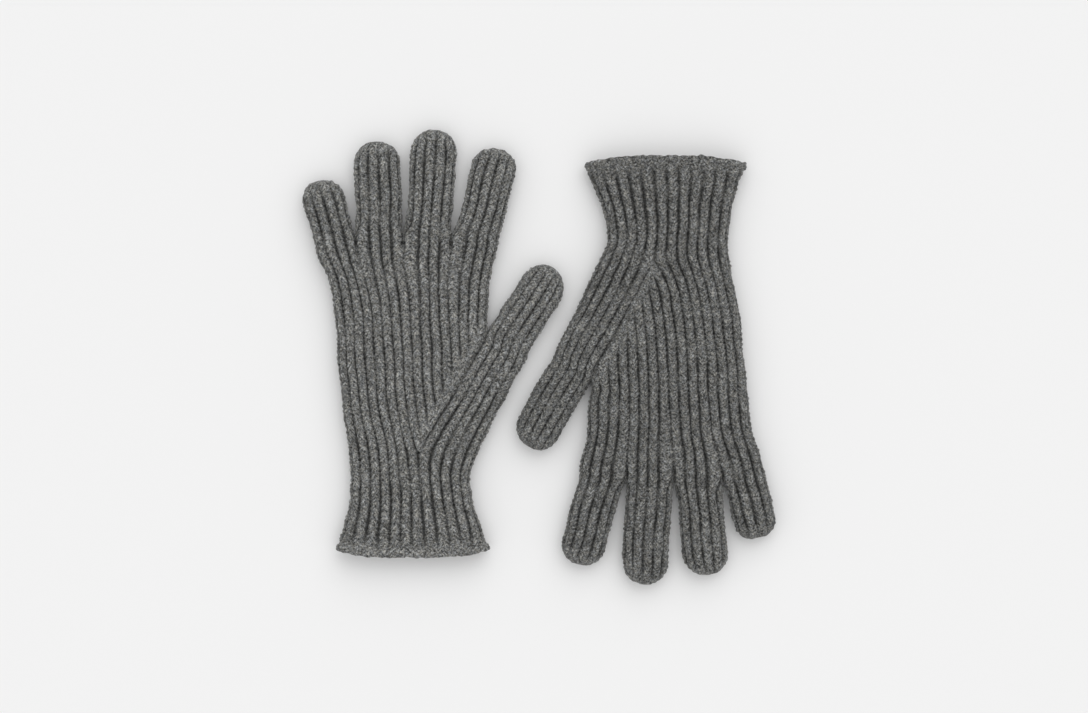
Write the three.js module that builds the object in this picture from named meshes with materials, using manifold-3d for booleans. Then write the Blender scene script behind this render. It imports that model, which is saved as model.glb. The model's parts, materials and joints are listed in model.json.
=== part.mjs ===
// A pair of rib-knit wool gloves lying flat: the right glove palm up with its fingers pointing away (+Y),
// and the left glove beside it, back up and turned end for end, so that both look the same way round from above.
// Units are millimetres, +Z is up, and the origin is at the middle of the pair's box, on the table.
//
// Each glove is one hollow knitted shell. An outer body and the space for the hand inside it are lofted from
// flattened rings, the second is taken out of the first, and thin kerfs then part the shell where one knitted
// section meets the next and where the fabric folds.
import * as THREE from "three";
import { mergeVertices } from "three/addons/utils/BufferGeometryUtils.js";
import Module from "manifold-3d";

const wasm = await Module();
wasm.setup();

// ---- Driving dimensions -------------------------------------------------------------------------------

const FABRIC = 2.4; // thickness of the rib fabric
const LOFT = 12; // height of a glove lying flat: two layers and the air between them
const KERF = 0.3; // gap between two sections
const HEM_DEPTH = 6; // height of the plain edge band
const WRIST_AT = 49; // cuff edge to the narrowest part of the wrist
const CROTCH_AT = 184; // cuff edge to the bottom of the gaps between the fingers
const STUB = 8; // crotch to the line where a stall folds
const KNUCKLE = 0.5; // the middle fold of a stall, as a share of the way from its root fold to its tip
const BEHIND = 12; // how far a finger stall runs back into the hand
const GUSSET_BEHIND = 4; // how far the gusset runs back into the cuff
const LEFT_GLOVE_AT = { x: 149, y: CROTCH_AT + 48.7 }; // the left glove's cuff edge, from the right glove's

// How square the upper and lower halves of a section are, and how far its underside is pressed flat.
const HAND_SQUARENESS = { top: 4, bottom: 6 };
const STALL_SQUARENESS = { top: 2.3, bottom: 4 };
const PRESSED_FLAT = 1.04;
const HAND_SIDES = 24;
const STALL_SIDES = 16;
const ROUND_END = [0, 30, 55, 75]; // degrees round a fingertip at which its rings stand

const WOOL = { color: 0x63635f, roughness: 0.95, metalness: 0 };

// The distance from the cuff edge to a place between the wrist (0) and the crotches (1).
const palmAt = (share) => WRIST_AT + share * (CROTCH_AT - WRIST_AT);

// In a glove's own frame +Y runs from the middle of the cuff edge to the fingertips and +X is the thumb's side.
// sides: [distance from the cuff edge, little-finger side, thumb side] along the cuff and the hand. Beyond the
// wrist the thumb side runs inside the gusset, and comes out again at the thumb's crotch.
// fingers: width across the stall, the middle of its root at the crotch line, and its tip.
// thumb: the gusset's lower end and the thumb's crotch, between which its seam runs, and the stall.
const rightShape = {
  sides: [
    [0, -43.8, 43.6],
    [14, -40.2, 42],
    [28, -36.2, 36.4],
    [WRIST_AT, -34.8, 33],
    [palmAt(0.156), -37.6, 20],
    [palmAt(0.348), -41.4, 24],
    [palmAt(0.541), -43.4, 39.2],
    [palmAt(0.674), -44.6, 44.2],
    [palmAt(0.793), -47.4, 44.9],
    [palmAt(0.896), -52, 47.6],
    [CROTCH_AT, -57.6, 51.2],
  ],
  fingers: {
    little: { width: 23.6, root: [-45.2, CROTCH_AT], tip: [-55, CROTCH_AT + 35.8] },
    ring: { width: 26.4, root: [-19.4, CROTCH_AT], tip: [-20.6, CROTCH_AT + 58.8] },
    middle: { width: 26.5, root: [9, CROTCH_AT], tip: [13.8, CROTCH_AT + 65.6] },
    index: { width: 25.6, root: [37.3, CROTCH_AT], tip: [50.9, CROTCH_AT + 54.3] },
  },
  thumb: {
    width: 26,
    apex: [5, palmAt(0.107)],
    crotch: [44.4, palmAt(0.625)],
    root: [57, palmAt(0.573)],
    tip: [83.2, palmAt(0.573) + 41.8],
  },
};
const leftShape = {
  sides: [
    [0, -45.6, 46],
    [14, -42.8, 43],
    [28, -38, 36.6],
    [WRIST_AT, -35.8, 32.9],
    [palmAt(0.156), -39, 20],
    [palmAt(0.348), -44.2, 24],
    [palmAt(0.541), -46.6, 38.4],
    [palmAt(0.674), -47.8, 44.8],
    [palmAt(0.793), -50, 45.4],
    [palmAt(0.896), -53.4, 47.4],
    [CROTCH_AT, -57.8, 50.8],
  ],
  fingers: {
    little: { width: 23.8, root: [-45.4, CROTCH_AT], tip: [-55, CROTCH_AT + 38.8] },
    ring: { width: 26.4, root: [-19.2, CROTCH_AT], tip: [-24.2, CROTCH_AT + 60.4] },
    middle: { width: 26.8, root: [8.8, CROTCH_AT], tip: [13, CROTCH_AT + 66] },
    index: { width: 25.8, root: [36.6, CROTCH_AT], tip: [51.3, CROTCH_AT + 54.2] },
  },
  thumb: {
    width: 26,
    apex: [7.5, palmAt(0.1)],
    crotch: [43.8, palmAt(0.615)],
    root: [55.4, palmAt(0.561)],
    tip: [81.2, palmAt(0.561) + 44.4],
  },
};

// ---- Plan geometry ------------------------------------------------------------------------------------

const plan = (point) => new THREE.Vector2(...point);
const rightOf = (direction) => new THREE.Vector2(direction.y, -direction.x);
const lengthOf = ({ root, tip }) => plan(root).distanceTo(plan(tip));
const directionOf = ({ root, tip }) => plan(tip).sub(plan(root)).normalize();

// ---- Lofted bodies ------------------------------------------------------------------------------------

const powered = (value, squareness) => Math.sign(value) * Math.abs(value) ** (2 / squareness);

// One flattened ring standing over the line from one side of the glove to the other.
function ring(left, right, low, high, squareness, sides) {
  const middle = left.clone().add(right).multiplyScalar(0.5);
  const half = right.clone().sub(left).multiplyScalar(0.5);
  const rise = (high - low) / 2;
  return Array.from({ length: sides }, (_, i) => {
    const turn = (2 * Math.PI * i) / sides;
    const shape = Math.sin(turn) >= 0 ? squareness.top : squareness.bottom;
    const across = powered(Math.cos(turn), shape);
    const up = Math.max(-1, PRESSED_FLAT * powered(Math.sin(turn), shape));
    const height = low + rise * (1 + Math.min(1, up));
    return new THREE.Vector3(middle.x + half.x * across, middle.y + half.y * across, height);
  });
}

// A closed body through a row of rings, with a flat fan over each end.
function loft(rings) {
  const sides = rings[0].length;
  const middleOf = (points) => points.reduce((sum, p) => sum.add(p), new THREE.Vector3()).divideScalar(sides);
  const points = [...rings.flat(), middleOf(rings[0]), middleOf(rings.at(-1))];
  const [firstMiddle, lastRing] = [rings.length * sides, (rings.length - 1) * sides];
  const faces = [];
  for (let i = 0; i < sides; i++) {
    const next = (i + 1) % sides;
    for (let start = 0; start < lastRing; start += sides) {
      const [a, b] = [start + i, start + next];
      faces.push(a, b + sides, b, a, a + sides, b + sides);
    }
    faces.push(firstMiddle, i, next, firstMiddle + 1, lastRing + next, lastRing + i);
  }
  const geometry = new THREE.BufferGeometry().setFromPoints(points);
  geometry.setIndex(faces);
  return solid(geometry);
}

// A three.js geometry as a manifold solid.
function solid(geometry) {
  const bare = geometry.clone();
  bare.deleteAttribute("normal");
  bare.deleteAttribute("uv");
  const merged = mergeVertices(bare, 1e-4);
  const vertProperties = new Float32Array(merged.attributes.position.array);
  const triVerts = new Uint32Array(merged.index.array);
  return new wasm.Manifold(new wasm.Mesh({ numProp: 3, vertProperties, triVerts }));
}

function geometryOf(made) {
  const mesh = made.getMesh();
  const geometry = new THREE.BufferGeometry();
  geometry.setAttribute("position", new THREE.BufferAttribute(mesh.vertProperties, 3));
  geometry.setIndex(new THREE.BufferAttribute(mesh.triVerts, 1));
  return geometry;
}

// The bodies below are the outside of the glove with a margin of 0, and the space inside it with a margin of
// one fabric thickness.

// The cuff and hand. Its ends move back by the margin, which opens the cuff and leaves a wall at the crotches.
function handBody({ sides }, margin) {
  const rings = sides.map(([at, left, right], i) => {
    const isEnd = i === 0 || i === sides.length - 1;
    const y = isEnd ? at - margin : at;
    const [from, to] = [plan([left + margin, y]), plan([right - margin, y])];
    return ring(from, to, margin, LOFT - margin, HAND_SQUARENESS, HAND_SIDES);
  });
  return loft(rings);
}

// A stall with a round end, from a little behind its root to its tip.
function stallBody(stall, behind, margin) {
  const along = directionOf(stall);
  const across = rightOf(along);
  const length = lengthOf(stall) - margin;
  const half = stall.width / 2 - margin;
  const rise = LOFT / 2 - margin;
  const straight = length - half;
  const roundEnd = ROUND_END.map((degrees) => straight + half * Math.sin(THREE.MathUtils.degToRad(degrees)));
  const narrowed = (at, start, reach) => Math.sqrt(1 - (Math.max(0, at - start) / reach) ** 2);
  const rings = [-behind, ...roundEnd].map((at) => {
    const middle = plan(stall.root).addScaledVector(along, at);
    const reach = across.clone().multiplyScalar(half * narrowed(at, straight, half));
    const high = rise * narrowed(at, length - rise, rise);
    const [from, to] = [middle.clone().sub(reach), middle.clone().add(reach)];
    return ring(from, to, LOFT / 2 - high, LOFT / 2 + high, STALL_SQUARENESS, STALL_SIDES);
  });
  return loft(rings);
}

// The thumb's gusset, from the wrist to the thumb's root.
function gussetBody({ sides, thumb }, margin) {
  const across = rightOf(directionOf(thumb));
  const reach = across.clone().multiplyScalar(thumb.width / 2);
  const root = plan(thumb.root);
  const wristRight = sides.find(([at]) => at === WRIST_AT)[2];
  const foot = [plan([0, WRIST_AT - GUSSET_BEHIND]), plan([wristRight, WRIST_AT - GUSSET_BEHIND])];
  const wrist = [plan([0, WRIST_AT]), plan([wristRight, WRIST_AT])];
  const head = [root.clone().sub(reach), root.clone().add(reach)];
  const rings = [foot, wrist, head].map(([left, right]) => {
    const inset = right.clone().sub(left).normalize().multiplyScalar(margin);
    return ring(left.add(inset), right.sub(inset), margin, LOFT - margin, HAND_SQUARENESS, HAND_SIDES);
  });
  return loft(rings);
}

// ---- Parting the shell --------------------------------------------------------------------------------

// A thin upright plate over the line from one plan point to another.
function kerf(from, to) {
  const plate = new THREE.BoxGeometry(from.distanceTo(to), KERF, 3 * LOFT);
  plate.rotateZ(Math.atan2(to.y - from.y, to.x - from.x));
  plate.translate((from.x + to.x) / 2, (from.y + to.y) / 2, LOFT / 2);
  return solid(plate);
}

// The folds of a stall: one just beyond its root and one at its middle. Each is the point where the stall's
// middle line crosses the fold, and the direction of the fold to the right.
function foldsOf(stall, across) {
  const along = directionOf(stall);
  const forward = new THREE.Vector2(-across.y, across.x);
  const rootAt = STUB / along.dot(forward);
  const knuckleAt = rootAt + (lengthOf(stall) - rootAt) * KNUCKLE;
  const [root, knuckle] = [rootAt, knuckleAt].map((at) => plan(stall.root).addScaledVector(along, at));
  return { stall, across, along, root, knuckle };
}

function foldCuts({ stall, across, along, root, knuckle }) {
  const reach = (stall.width / 2 + 0.5) / across.dot(rightOf(along));
  return [root, knuckle].map((middle) =>
    kerf(middle.clone().addScaledVector(across, -reach), middle.clone().addScaledVector(across, reach)),
  );
}

// ---- A glove ------------------------------------------------------------------------------------------

// A hinge as a group at the fold's top edge, whose X axis runs along the fold.
function hinge(name, middle, across) {
  const pivot = new THREE.Group();
  pivot.name = name;
  pivot.position.set(middle.x, middle.y, LOFT);
  pivot.rotation.z = Math.atan2(across.y, across.x);
  return pivot;
}

function makeGlove(hand, shape) {
  const { sides, thumb } = shape;
  const fingers = Object.entries(shape.fingers);
  const straightAcross = new THREE.Vector2(1, 0);
  const folds = {
    ...Object.fromEntries(fingers.map(([name, stall]) => [name, foldsOf(stall, straightAcross)])),
    thumb: foldsOf(thumb, rightOf(directionOf(thumb))),
  };
  const joined = (bodies) => bodies.reduce((whole, body) => whole.add(body));
  const glove = (margin) =>
    joined([
      handBody(shape, margin),
      gussetBody(shape, margin),
      stallBody(thumb, FABRIC, margin),
      ...fingers.map(([, stall]) => stallBody(stall, BEHIND, margin)),
    ]);

  const [apex, crotch] = [plan(thumb.apex), plan(thumb.crotch)];
  const [, littleSide, thumbSide] = sides[0];
  const across = (at) => kerf(plan([littleSide - 1, at]), plan([thumbSide + 1, at]));
  const cuts = joined([
    across(HEM_DEPTH),
    across(WRIST_AT),
    kerf(plan([apex.x, WRIST_AT]), apex.clone().setY(apex.y + KERF / 2)),
    kerf(apex, apex.clone().lerp(crotch, 1.03)),
    ...Object.values(folds).flatMap(foldCuts),
  ]);
  const pieces = glove(0).subtract(glove(FABRIC)).subtract(cuts).decompose();

  // The piece whose upper layer lies over a plan point.
  const section = (name, point) => {
    const probe = new THREE.BoxGeometry(1, 1, 1);
    probe.translate(point.x, point.y, LOFT - FABRIC / 2);
    const piece = pieces.find((each) => each.intersect(solid(probe)).volume() > 0);
    const mesh = new THREE.Mesh(geometryOf(piece), new THREE.MeshStandardMaterial(WOOL));
    mesh.name = `${hand}_${name}`;
    return mesh;
  };

  const group = new THREE.Group();
  group.name = `${hand}_glove`;
  group.add(section("hand", plan([-10, (WRIST_AT + CROTCH_AT) / 2])));
  group.add(section("thumb_gusset", plan(thumb.root).lerp(apex, 0.3)));

  const wrist = hinge(`${hand}_cuff_fold`, plan([0, WRIST_AT]), straightAcross);
  group.add(wrist);
  wrist.attach(section("cuff", plan([0, WRIST_AT / 2])));
  wrist.attach(section("hem", plan([0, HEM_DEPTH / 2])));

  for (const [name, { root, knuckle, along, across: fold }] of Object.entries(folds)) {
    const rootPivot = hinge(`${hand}_${name}_root_fold`, root, fold);
    const knucklePivot = hinge(`${hand}_${name}_knuckle_fold`, knuckle, fold);
    group.add(rootPivot);
    rootPivot.attach(knucklePivot);
    rootPivot.attach(section(`${name}_root`, root.clone().lerp(knuckle, 0.5)));
    knucklePivot.attach(section(`${name}_tip`, knuckle.clone().addScaledVector(along, STUB)));
  }
  return group;
}

// ---- The pair -----------------------------------------------------------------------------------------

const pair = new THREE.Group();
pair.name = "knitted_gloves";
const leftGlove = makeGlove("left", leftShape);
leftGlove.position.set(LEFT_GLOVE_AT.x, LEFT_GLOVE_AT.y, 0);
leftGlove.rotation.z = Math.PI;
pair.add(makeGlove("right", rightShape), leftGlove);

const middle = new THREE.Box3().setFromObject(pair, true).getCenter(new THREE.Vector3()).setZ(0);
for (const glove of pair.children) glove.position.sub(middle);

export default pair;
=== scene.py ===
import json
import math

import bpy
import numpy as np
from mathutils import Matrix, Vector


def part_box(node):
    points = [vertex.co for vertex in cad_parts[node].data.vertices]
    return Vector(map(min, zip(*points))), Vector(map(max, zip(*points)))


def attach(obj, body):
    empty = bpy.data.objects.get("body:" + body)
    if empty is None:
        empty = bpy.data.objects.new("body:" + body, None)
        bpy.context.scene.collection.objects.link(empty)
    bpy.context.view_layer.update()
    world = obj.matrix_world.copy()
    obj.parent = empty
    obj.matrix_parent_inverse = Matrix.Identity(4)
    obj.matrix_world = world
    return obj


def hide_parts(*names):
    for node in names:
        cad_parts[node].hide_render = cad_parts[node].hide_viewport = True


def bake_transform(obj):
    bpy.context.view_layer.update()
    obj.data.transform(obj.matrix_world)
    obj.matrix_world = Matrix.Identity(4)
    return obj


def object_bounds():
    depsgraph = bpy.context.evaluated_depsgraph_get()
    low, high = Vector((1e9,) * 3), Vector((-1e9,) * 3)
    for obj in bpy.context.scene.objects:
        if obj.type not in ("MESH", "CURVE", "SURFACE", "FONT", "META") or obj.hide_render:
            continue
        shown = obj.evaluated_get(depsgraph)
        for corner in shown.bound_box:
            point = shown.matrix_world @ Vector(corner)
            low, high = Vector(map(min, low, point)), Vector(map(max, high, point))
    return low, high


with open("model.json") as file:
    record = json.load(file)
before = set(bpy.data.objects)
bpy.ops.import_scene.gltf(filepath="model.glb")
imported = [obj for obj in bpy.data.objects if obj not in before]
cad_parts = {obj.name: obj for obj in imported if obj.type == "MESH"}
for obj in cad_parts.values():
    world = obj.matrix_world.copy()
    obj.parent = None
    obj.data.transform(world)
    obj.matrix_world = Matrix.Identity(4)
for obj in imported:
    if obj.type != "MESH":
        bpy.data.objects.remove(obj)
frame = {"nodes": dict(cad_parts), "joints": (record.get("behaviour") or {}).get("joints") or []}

# A pair of heather grey rib-knit wool gloves. Each glove is knitted here as a set of flattened tubes: the
# cuff, the hand, the thumb's gusset and five stalls. A tube is a grid of points. Its columns run along the
# ribs, and its rows run round the tube. The tube's outline is measured on the CAD solids, and the ribs and
# the V-shaped stitches are then raised on it. Lengths are in metres.
#
# In a glove's own frame +Y runs from the cuff's edge to the fingertips and +X is the thumb's side.

CAD_BOX = [list(corner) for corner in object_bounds()]
MM = 0.001

# ---- Sizes --------------------------------------------------------------------------------------------

LOFT = CAD_BOX[1][2]  # height of a glove lying flat
MIDDLE = LOFT / 2
FABRIC = 2.4 * MM  # thickness of the rib fabric
CROTCH_TO_FOLD = 8 * MM  # from a crotch to the fold of the stall beyond it
SPLIT_BEYOND_WRIST = 12 * MM  # from the wrist's fold to where hand and gusset part
WRIST_BEND = 9 * MM  # how far on each side of the wrist's fold the plan points passed to bend_between lie
STALL_BEND = 8 * MM  # the same for a stall, whose root half also ends at most this far before its knuckle's fold
FAN_REACH = 52 * MM  # how far from the crotches the palm's ribs start to turn towards the fingers
CREASE_REACH = 14 * MM  # how far the creases between the fingers run down into the palm
CREASE_DEPTH = 0.6  # how much deeper than a groove they are
SWING = 11 * MM  # how soon beyond the gusset's foot the palm's ribs are evenly spread again
EDGE_PINCH = 7 * MM  # how far in from a side the flattened tube is thinner
SIDE_PINCH = 0.04  # by what share it is thinner there
PINCH_FADE = 20 * MM  # how far before the crotches this fades out
SEAM_RADIUS = 2 * MM  # rounding of hand and gusset where they meet at the seam
SEAM_TUCK = 3.5 * MM  # how far the hand's edge reaches in under the gusset
SEAM_SINK = 2.2 * MM  # how far it is pressed down there
GUSSET_RISE = 0.3 * MM  # how much higher than the hand the gusset lies
CROTCH_RADIUS = 1.6 * MM  # rounding of two stalls where they meet at a crotch
STALL_OPENING = 12 * MM  # how far beyond its root a stall has its own width
CAP_RISE = 7.5 * MM  # how far before its end a stall starts to be less high
CAP_SHARE = 0.98  # how far before its end it starts to be narrower, as a share of its half width
CAP_FADE = 0.6  # by what share its grooves are shallower at its end

HEM_BOW = 4 * MM  # how far the cuff's edge draws back at its corners
HEM_DROP = 1.2 * MM  # how far the rolled edge reaches beyond the CAD solid
HEM_REACH = 26 * MM  # how far from the edge the bow, the drop and the pinch fade out
HEM_EAR = 1.8 * MM  # how far the edge's corners stick out
EAR_REACH = 13 * MM  # how far from the edge the corners fade out
HEM_PINCH = 0.35  # SIDE_PINCH at the cuff's edge
HEM_ROLL = 0.8 * MM  # how far the edge's roll stands out
HEM_NECK = 0.5 * MM  # how deep the line behind the roll is
HEM_WAVER = 0.3 * MM  # how far the edge wavers

RIB_DEPTH = 2.1 * MM  # from the crown of a rib to the bottom of the groove beside it
RIB_HALF = 2.65 * MM  # half the width of a rib
WIDEST_GAP = 1.3 * MM  # between two ribs
FULL_RELIEF = 4.2 * MM  # ribs narrower than this are raised less
FULLER = 0.5 * MM  # how far the crowns of the ribs stand out beyond the CAD solids
COURSE = 3.1 * MM  # height of one row of stitches
LEG_RISE = 3.0 * MM  # how far a stitch's leg climbs from the rib's side to its middle
LEG_DEPTH = 0.6 * MM  # depth of the gap between one stitch and the next
MID_DEPTH = 0.3 * MM  # depth of the line down the middle of a rib, where the legs meet
MID_WIDTH = 0.2  # how wide that line is, as a share of half a rib
CROWN_SHAPE = 2.8  # 2 makes a rib round, and more makes its crown flatter
LEG_SHAPE = 0.65  # 1 makes a leg as round as a sine, and less makes it fuller
RUNG_HEIGHT = 0.5 * MM  # the yarn that crosses a wide gap between two ribs
EVENNESS = 0.3 * MM  # how far a stitch that isn't like the others stands out
HEM_COURSE = 2.6 * MM  # two rows of the edge's plain stitches
HEM_BUMP = 0.4 * MM  # how far they stand out
ROUGHNESS = 0.25 * MM  # how uneven the surface is, for each size of unevenness
SWELL = 0.6 * MM  # how far the upper side swells and sinks
SWAY = 0.35 * MM  # how far the ribs stray sideways
QUIVER = 0.1 * MM  # the same over a short way
THUMB_SIDE_RIBS = 5  # ribs that run from the cuff into the thumb
HAND_SIDE_RIBS = 7  # ribs that run from the cuff into the hand
PALM_RIBS = 16
FINGER_RIBS = 4
FINGERS = ("little", "ring", "middle", "index")

COLUMNS = 10  # grid columns in a rib
ROW = 0.5 * MM  # grid rows along a tube
LINING_ROW = 4 * MM

CROWN_BRIGHTNESS = 0.183  # of the wool where nothing shades it
GROOVE_SHADE = 0.8  # painted shade: how much darker than that the wool is painted in a groove
GAP_SHADE = 0.26  # the same between two stitches
MID_SHADE = 0.08  # the same down the middle of a rib
LINING_TONE = 0.8  # how bright the inside is
LEFT_PAINTED_SHADE = 0.84  # painted shade: the left glove is painted this much darker than the right one, though both are the same yarn

# ---- Numbers ------------------------------------------------------------------------------------------


def ease(value, start, end):
    """0 before start, 1 after end, and a smooth step between."""
    t = np.clip((value - start) / (end - start), 0, 1)
    return t * t * (3 - 2 * t)


def mix(a, b, share):
    return a + (b - a) * share


def smooth_curve(values, width):
    """A sampled curve with its corners rounded over a number of samples."""
    reach = np.arange(-3 * width, 3 * width + 1)
    kernel = np.exp(-0.5 * (reach / width) ** 2)
    padded = np.pad(values, 3 * width, mode="reflect", reflect_type="odd")
    return np.convolve(padded, kernel / kernel.sum(), mode="valid")


def wander(points, size, seed, waves=14):
    """Smooth noise between about -1 and 1 over points in space, with features of that size."""
    random = np.random.default_rng(seed)
    total = np.zeros(points.shape[:-1])
    for _ in range(waves):
        direction = random.normal(size=3)
        direction *= math.tau / (size * 2) * random.uniform(0.7, 1.4) / np.linalg.norm(direction)
        total += np.sin(points @ direction + random.uniform(0, math.tau))
    return total / math.sqrt(waves / 2) * 0.7


def scatter(a, b, seed):
    """A repeatable random number from 0 to 1 for each pair of whole numbers."""
    mixed = np.sin(a * 127.1 + b * 311.7 + seed * 74.7) * 43758.5453
    return mixed - np.floor(mixed)


# ---- Measuring the CAD solids -------------------------------------------------------------------------


class Glove:
    """One hand's own frame, and the outlines and folds measured in it."""

    def __init__(self, hand):
        self.hand = hand
        self.joints = {j["name"]: j for j in frame["joints"]}
        fold = self.joints[f"{hand}_cuff_fold"]
        self.turn = -1.0 if fold["axis"][0] > 0 else 1.0
        low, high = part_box(f"{hand}_hem")
        edge = low.y if self.turn > 0 else high.y
        self.origin = np.array([fold["pos_m"][0], edge])
        self.wrist = self.own(fold["pos_m"])[1]
        self.split = self.wrist + SPLIT_BEYOND_WRIST

    def own(self, points):
        """Plan points of the row frame in the glove's own frame."""
        return (np.array(points, float)[..., :2] - self.origin) * self.turn

    def world(self, points):
        """Points of the glove's own frame in the row frame."""
        placed = points.copy()
        placed[..., :2] = points[..., :2] * self.turn + self.origin
        return placed

    def plan_of(self, node):
        """The plan points of a node's vertices."""
        vertices = frame["nodes"][f"{self.hand}_{node}"].data.vertices
        co = np.empty(len(vertices) * 3, np.float32)
        vertices.foreach_get("co", co)
        return self.own(co.reshape(-1, 3))

    def span(self, node, ys, rounding=5):
        """How far a node reaches to each side at each distance from the cuff's edge."""
        plan = self.plan_of(node)
        edges = frame["nodes"][f"{self.hand}_{node}"].data.edges
        ends = np.empty(len(edges) * 2, np.int32)
        edges.foreach_get("vertices", ends)
        a, b = plan[ends[0::2]], plan[ends[1::2]]
        left, right = np.full(len(ys), np.nan), np.full(len(ys), np.nan)
        for i, y in enumerate(ys):
            crossing = (a[:, 1] - y) * (b[:, 1] - y) <= 0
            p, q = a[crossing], b[crossing]
            rise = q[:, 1] - p[:, 1]
            share = np.where(np.abs(rise) > 1e-9, (y - p[:, 1]) / np.where(rise == 0, 1, rise), 0)
            x = p[:, 0] + (q[:, 0] - p[:, 0]) * np.clip(share, 0, 1)
            if len(x):
                left[i], right[i] = x.min(), x.max()
        known = ~np.isnan(left)
        left, right = (np.interp(ys, ys[known], side[known]) for side in (left, right))
        return smooth_curve(left, rounding), smooth_curve(right, rounding)


class Stall:
    """A finger or thumb stall: its middle line, its width and its folds, from the CAD solids."""

    def __init__(self, glove, name):
        self.name = name
        root_fold = glove.joints[f"{glove.hand}_{name}_root_fold"]
        knuckle_fold = glove.joints[f"{glove.hand}_{name}_knuckle_fold"]
        fold, knuckle = glove.own(root_fold["pos_m"]), glove.own(knuckle_fold["pos_m"])
        self.along = (knuckle - fold) / np.linalg.norm(knuckle - fold)
        self.across = np.array([self.along[1], -self.along[0]])
        self.row = np.array(root_fold["axis"][:2]) * glove.turn  # the direction of its first row of stitches
        forward = np.array([-self.row[1], self.row[0]])
        self.slant = self.along @ self.row / (self.along @ forward)
        stretch = 1 / (self.along @ forward)
        self.root = fold - self.along * CROTCH_TO_FOLD * stretch
        self.knuckle = (knuckle - self.root) @ self.along
        tip = glove.plan_of(f"{name}_tip")
        self.half = np.ptp(tip @ self.across) / 2
        self.length = ((tip - self.root) @ self.along).max()
        self.bend = min(STALL_BEND, self.knuckle - 2 * STALL_BEND)


# ---- Flattened tubes ----------------------------------------------------------------------------------


def grid_columns(ribs):
    """Rib coordinates of the columns across a number of ribs, closer together in the grooves."""
    j = np.arange(ribs * COLUMNS) / COLUMNS
    return j - 0.35 * np.sin(math.tau * j) / math.tau


class Section:
    """The upper half of a flattened tube's section, from the middle of its left side over the top to the
    middle of its right side. Each size may be a column of values, one for each row of the tube."""

    def __init__(self, left, right, half_height, left_radius, right_radius):
        self.left, self.right, self.half_height = left, right, half_height
        self.left_radius, self.right_radius = left_radius, right_radius
        self.left_wall = half_height - left_radius
        self.left_arc = math.pi / 2 * left_radius
        self.flat = right - left - left_radius - right_radius
        self.right_arc = math.pi / 2 * right_radius
        self.right_wall = half_height - right_radius
        self.length = self.left_wall + self.left_arc + self.flat + self.right_arc + self.right_wall

    def at(self, arc):
        """Plan position across and height above the middle, at an arc length."""
        top = self.left_wall + self.left_arc
        turn_left = np.clip((arc - self.left_wall) / self.left_radius, 0, math.pi / 2)
        beyond = arc - top - self.flat
        turn_right = np.clip(beyond / self.right_radius, 0, math.pi / 2)
        across = self.left + self.left_radius * (1 - np.cos(turn_left))
        across = across + np.clip(arc - top, 0, self.flat) + self.right_radius * np.sin(turn_right)
        height = self.half_height - self.left_radius * (1 - np.sin(turn_left))
        height = height - np.clip(self.left_wall - arc, 0, None)
        height = height - self.right_radius * (1 - np.cos(turn_right))
        height = height - np.clip(beyond - self.right_arc, 0, None)
        return across, height


class Ribs:
    """How a tube's ribs go round it: over the top, down the right side, back underneath and up the left
    side."""

    def __init__(self, top, right=1, left=1):
        self.top, self.right, self.left = top, right, left
        self.count = 2 * top + right + left
        self.columns = grid_columns(self.count)

    def arcs(self, section, left_share, right_share, top_arc):
        """The arc length of each column, and whether it is on the upper side. The shares are the arc lengths
        from the middles of the sides to the first and the last rib of the top, and top_arc gives the arc
        length at a rib coordinate of the top."""
        s = self.columns[None, :]
        under = s - self.top - self.right
        over_right = (s - self.top) / self.right * 2
        over_left = (s - 2 * self.top - self.right) / self.left * 2
        arc = np.where(s < self.top, top_arc(np.clip(s, 0, self.top)), 0)
        side = (s >= self.top) & (under < 0)
        arc = np.where(side, section.length - right_share * np.abs(1 - over_right), arc)
        below = (under >= 0) & (over_left < 0)
        arc = np.where(below, top_arc(np.clip(self.top - under, 0, self.top)), arc)
        arc = np.where(over_left >= 0, left_share * np.abs(1 - over_left), arc)
        upper = (s < self.top) | (side & (over_right < 1)) | (over_left > 1)
        return arc, np.broadcast_to(upper, arc.shape)


def flattened(section, arc, upper, left_pinch=0.0, right_pinch=0.0):
    """Across and height above the table for each column of a tube. A pinch is the share by which the tube is
    thinner at its side."""
    across, height = section.at(arc)
    thinner = left_pinch * np.exp(-(((across - section.left) / EDGE_PINCH) ** 2))
    thinner = thinner + right_pinch * np.exp(-(((section.right - across) / EDGE_PINCH) ** 2))
    return across, MIDDLE + np.where(upper, height, -height) * (1 - thinner)


def between_lines(lines, rib):
    """The arc length at a rib coordinate, from the arc lengths at which the ribs start."""
    whole = np.clip(np.floor(rib).astype(int), 0, lines.shape[1] - 2)[0]
    share = np.clip(rib - whole, 0, 1)
    return lines[:, whole] * (1 - share) + lines[:, whole + 1] * share


def rows_between(start, end, step):
    return np.linspace(start, end, max(2, round((end - start) / step) + 1))


# ---- Knitting -----------------------------------------------------------------------------------------


def surface_normals(points):
    """Outward normals of a grid that closes on itself from its last column to its first."""
    along = np.gradient(points, axis=0)
    round_ = np.roll(points, -1, axis=1) - np.roll(points, 1, axis=1)
    normals = np.cross(round_, along)
    lengths = np.linalg.norm(normals, axis=2, keepdims=True)
    return normals / np.maximum(lengths, 1e-12)


def rib_widths(points, columns):
    """The width of a rib at each point, from how far apart its neighbours lie."""
    apart = np.linalg.norm(np.roll(points, -1, axis=1) - np.roll(points, 1, axis=1), axis=2)
    steps = np.roll(columns, -1) - np.roll(columns, 1)
    steps[[0, -1]] += columns[-1] + 1 / COLUMNS
    return apart / steps[None, :]


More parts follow.
